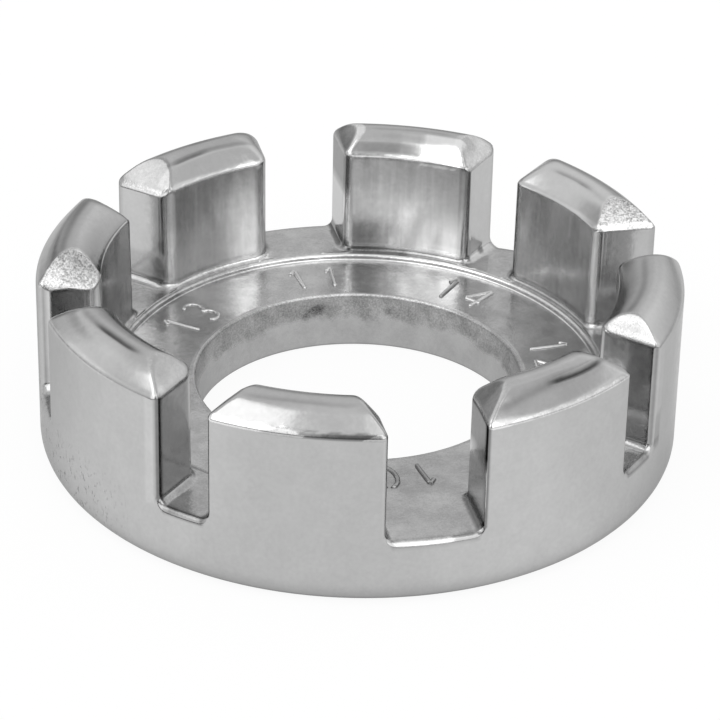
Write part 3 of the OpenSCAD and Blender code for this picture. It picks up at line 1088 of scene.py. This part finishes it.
def camera_bearings(tree, direction):
    """Bearing and elevation of a direction in degrees. Bearing 0 points to the camera's side, positive
    bearings lie to the picture's right, and 180 is behind the wrench."""
    node = partial(add_node, tree)
    turned = node("VectorRotate", direction, Angle=-CAMERA_TURN, rotation_type="Z_AXIS")
    parts = node("SeparateXYZ", turned).outputs
    back = node("Math", parts["Y"], -1.0, operation="MULTIPLY")
    bearing = node("Math", node("Math", parts["X"], back, operation="ARCTAN2"), operation="DEGREES")
    elevation = node("Math", node("Math", parts["Z"], operation="ARCSINE"), operation="DEGREES")
    return bearing, elevation


# Soft windows of the world in degrees: bearing from and to, softness of both ends, elevation from
# and to, softness of both ends, and what each adds to the world's light
SKY_WINDOWS = (
    (-84, -37, 12, 2, 40, 66, 8, 6, 1.0),
    (9, 42, 5, 10, 46, 70, 6, 8, 0.55),
    (-62, -17, 12, 6, 12, 44, 6, 8, 0.85),
    (15, 52, 5, 15, 12, 46, 6, 8, 0.85),
    (-10, 8, 5, 5, -8, 38, 4, 10, -0.3),
    (-62, -15, 15, 8, -8, 6, 4, 5, -0.25),
    (-150, -120, 8, 10, 5, 26, 4, 8, -0.28),
    (60, 110, 15, 15, 4, 26, 6, 8, 0.25),
    (65, 110, 15, 10, 36, 60, 8, 10, -0.12),
    (110, 160, 10, 15, 4, 40, 6, 10, 0.14),
    (-125, -78, 10, 10, -6, 14, 4, 10, 0.25),
    (25, 90, 10, 10, -6, 14, 4, 10, 0.2),
)

# The floor's light as the plate reflects it, and the windows of bearing that add to it
FLOOR_LIGHT = 0.75
FLOOR_WINDOWS = ((-85, 130, 30, 50, 0.12), (-70, -40, 20, 20, 0.1), (25, 45, 15, 15, 0.1))

# How that light changes with the distance from the middle, from and to in millimetres and the share
# at each: far away, close to the foot, where the dimming is painted shade, and on the floor inside the bore
FAR_FADE = (60.0, 160.0, 1.0, 0.45)
FOOT_SHADE = (18.0, 22.0, 0.7, 1.0)
BORE_FADE = (3.0, 4.5, 0.95, 0.68)
BORE_REACH = 12.0


def set_world():
    """White to the camera. Polished metal sees a grey sky that is darker at the horizon, with a large
    soft light at the left, a narrow one at the right and darker gaps."""
    world = bpy.data.worlds.new("studio")
    bpy.context.scene.world = world
    world.use_nodes = True
    tree = world.node_tree
    node = partial(add_node, tree)
    bearing, elevation = camera_bearings(tree, node("TexCoord").outputs["Generated"])
    light = node("MapRange", elevation, -5.0, 35.0, 0.42, 0.74, **SMOOTH)
    light = add_parts(tree, light, [
        (soft_window(tree, bearing, *ends[:4]), soft_window(tree, elevation, *ends[4:]), gain)
        for *ends, gain in SKY_WINDOWS])
    is_camera = node("LightPath").outputs["Is Camera Ray"]
    shown = node("Mix", is_camera, None, light, 1.0, data_type="FLOAT")
    background = tree.nodes["Background"]
    background.inputs["Color"].default_value = (1, 1, 1, 1)
    tree.links.new(shown.outputs[0], background.inputs["Strength"])


def white_paper():
    """White paper, matt and even. The camera sees it lit almost to white, with the wrench's faint
    shadow, and the polished metal sees it fade with distance and towards the back, and dimmed by painted
    shade close to the wrench's foot."""
    mat = bpy.data.materials.new("white_paper")
    mat.use_nodes = True
    tree = mat.node_tree
    node = partial(add_node, tree)
    tree.nodes.remove(tree.nodes["Principled BSDF"])
    where = node("TexCoord").outputs["Object"]
    reach = node("Math", node("VectorMath", where, operation="LENGTH"), 1 / MM, operation="MULTIPLY")
    bearing, _ = camera_bearings(tree, node("VectorMath", where, operation="NORMALIZE"))
    light = add_parts(tree, FLOOR_LIGHT, [
        (soft_window(tree, bearing, *ends), 1.0, gain) for *ends, gain in FLOOR_WINDOWS])
    for fade in (FAR_FADE, FOOT_SHADE):
        light = node("Math", light, node("MapRange", reach, *fade, **SMOOTH), operation="MULTIPLY")
    under = node("Math", reach, BORE_REACH, operation="LESS_THAN")
    inside = node("Math", under, node("MapRange", reach, *BORE_FADE, **SMOOTH), operation="MULTIPLY")
    light = node("Math", light, inside, operation="MAXIMUM")

    diffuse = node("BsdfDiffuse", linear("#f4f4f4"))
    lit = node("MixShader", 0.75, diffuse, node("Emission", Strength=light))
    seen = node("MixShader", 0.9, diffuse, node("Emission", Strength=1.02))
    ray = node("LightPath").outputs
    glossy = node("MixShader", ray["Is Glossy Ray"], diffuse, lit)
    final = node("MixShader", ray["Is Camera Ray"], glossy, seen)
    tree.links.new(final.outputs[0], tree.nodes["Material Output"].inputs["Surface"])
    return mat


def set_floor():
    """Flat square of white paper under the wrench."""
    half = 1.5
    corners = [(-half, -half, 0), (half, -half, 0), (half, half, 0), (-half, half, 0)]
    mesh = bpy.data.meshes.new("floor")
    mesh.from_pydata(corners, [], [(0, 1, 2, 3)])
    mesh.materials.append(white_paper())
    floor = bpy.data.objects.new("floor", mesh)
    bpy.context.scene.collection.objects.link(floor)
    floor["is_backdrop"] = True


bpy.context.scene.view_settings.view_transform = "Standard"
set_camera()
set_world()
set_floor()
steel = plated_steel()
grids, inner_ring, outer_ring = casting_grids()
rings = np.concatenate([outer_ring, inner_ring])
mesh = stitch(grids, rings, ring_between(outer_ring, inner_ring))
casting = plated_piece("plated_casting", mesh, skin_shares, steel)
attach(casting, "root")
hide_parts(NODE)

numerals = plated_piece("gauge_numerals", stitch(gauge_numerals()), numeral_shares, steel)
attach(numerals, "root")

low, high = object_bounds()
